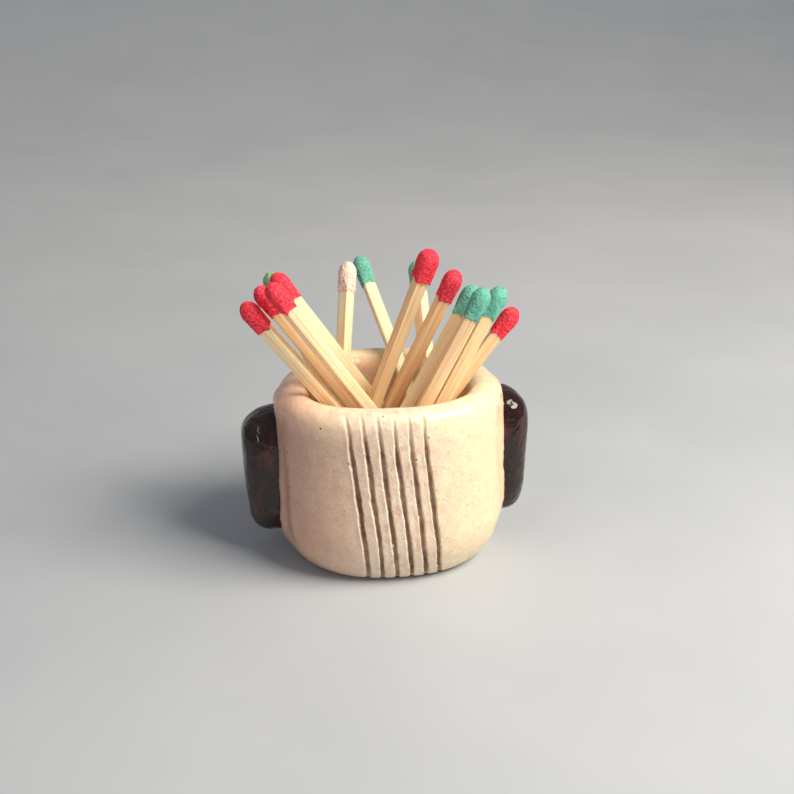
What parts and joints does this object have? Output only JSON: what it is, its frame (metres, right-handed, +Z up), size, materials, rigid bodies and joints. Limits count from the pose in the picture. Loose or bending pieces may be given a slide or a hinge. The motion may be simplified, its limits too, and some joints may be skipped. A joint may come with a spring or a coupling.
{
  "type": "match holder",
  "caption": "Thick-walled stoneware cup with slanted striking grooves on its front and a dark lug on each side, holding loose wooden matches with coloured heads.",
  "frame": {"origin": "centre of the flat base that the cup stands on", "axes": "+Z up, -Y out of the grooved front, +X towards the right lug"},
  "size_m": [0.048, 0.0396, 0.0518],
  "materials": {
    "clay": "satin cream glaze with fine dark specks",
    "dark_glaze": "glossy dark brown glaze",
    "splint_wood": "bare sawn aspen",
    "head_red": "matt, granular",
    "head_green": "matt, granular",
    "head_pale_green": "matt, granular",
    "head_pink": "matt, granular"
  },
  "bodies": {
    "holder": {"cup": "clay", "left_lug": "dark_glaze", "right_lug": "dark_glaze"},
    "match_01": {"match_01_splint": "splint_wood", "match_01_head": "head_red"},
    "match_02": {"match_02_splint": "splint_wood", "match_02_head": "head_red"},
    "match_03": {"match_03_splint": "splint_wood", "match_03_head": "head_pale_green"},
    "match_04": {"match_04_splint": "splint_wood", "match_04_head": "head_red"},
    "match_05": {"match_05_splint": "splint_wood", "match_05_head": "head_red"},
    "match_06": {"match_06_splint": "splint_wood", "match_06_head": "head_pink"},
    "match_07": {"match_07_splint": "splint_wood", "match_07_head": "head_green"},
    "match_08": {"match_08_splint": "splint_wood", "match_08_head": "head_green"},
    "match_09": {"match_09_splint": "splint_wood", "match_09_head": "head_red"},
    "match_10": {"match_10_splint": "splint_wood", "match_10_head": "head_red"},
    "match_11": {"match_11_splint": "splint_wood", "match_11_head": "head_green"},
    "match_12": {"match_12_splint": "splint_wood", "match_12_head": "head_green"},
    "match_13": {"match_13_splint": "splint_wood", "match_13_head": "head_green"},
    "match_14": {"match_14_splint": "splint_wood", "match_14_head": "head_red"}
  },
  "joints": [
    {"name": "match_01_lift", "type": "slide", "parent": "holder", "child": "match_01", "axis": [-0.5884, -0.1448, 0.7955], "range_m": [0, 0.04]},
    {"name": "match_02_lift", "type": "slide", "parent": "holder", "child": "match_02", "axis": [-0.5432, -0.2448, 0.8031], "range_m": [0, 0.04]},
    {"name": "match_03_lift", "type": "slide", "parent": "holder", "child": "match_03", "axis": [-0.3969, -0.1623, 0.9034], "range_m": [0, 0.04]},
    {"name": "match_04_lift", "type": "slide", "parent": "holder", "child": "match_04", "axis": [-0.5511, -0.2097, 0.8077], "range_m": [0, 0.04]},
    {"name": "match_05_lift", "type": "slide", "parent": "holder", "child": "match_05", "axis": [-0.5612, -0.1283, 0.8176], "range_m": [0, 0.04]},
    {"name": "match_06_lift", "type": "slide", "parent": "holder", "child": "match_06", "axis": [0.1138, 0.4824, 0.8685], "range_m": [0, 0.04]},
    {"name": "match_07_lift", "type": "slide", "parent": "holder", "child": "match_07", "axis": [-0.2876, 0.504, 0.8144], "range_m": [0, 0.04]},
    {"name": "match_08_lift", "type": "slide", "parent": "holder", "child": "match_08", "axis": [-0.0214, 0.5333, 0.8457], "range_m": [0, 0.04]},
    {"name": "match_09_lift", "type": "slide", "parent": "holder", "child": "match_09", "axis": [0.3336, -0.0652, 0.9405], "range_m": [0, 0.04]},
    {"name": "match_10_lift", "type": "slide", "parent": "holder", "child": "match_10", "axis": [0.3683, -0.2086, 0.906], "range_m": [0, 0.04]},
    {"name": "match_11_lift", "type": "slide", "parent": "holder", "child": "match_11", "axis": [0.497, 0.0793, 0.8641], "range_m": [0, 0.04]},
    {"name": "match_12_lift", "type": "slide", "parent": "holder", "child": "match_12", "axis": [0.4495, -0.01, 0.8932], "range_m": [0, 0.04]},
    {"name": "match_13_lift", "type": "slide", "parent": "holder", "child": "match_13", "axis": [0.4604, 0.0345, 0.887], "range_m": [0, 0.04]},
    {"name": "match_14_lift", "type": "slide", "parent": "holder", "child": "match_14", "axis": [0.5961, -0.0057, 0.8029], "range_m": [0, 0.04]}
  ]
}
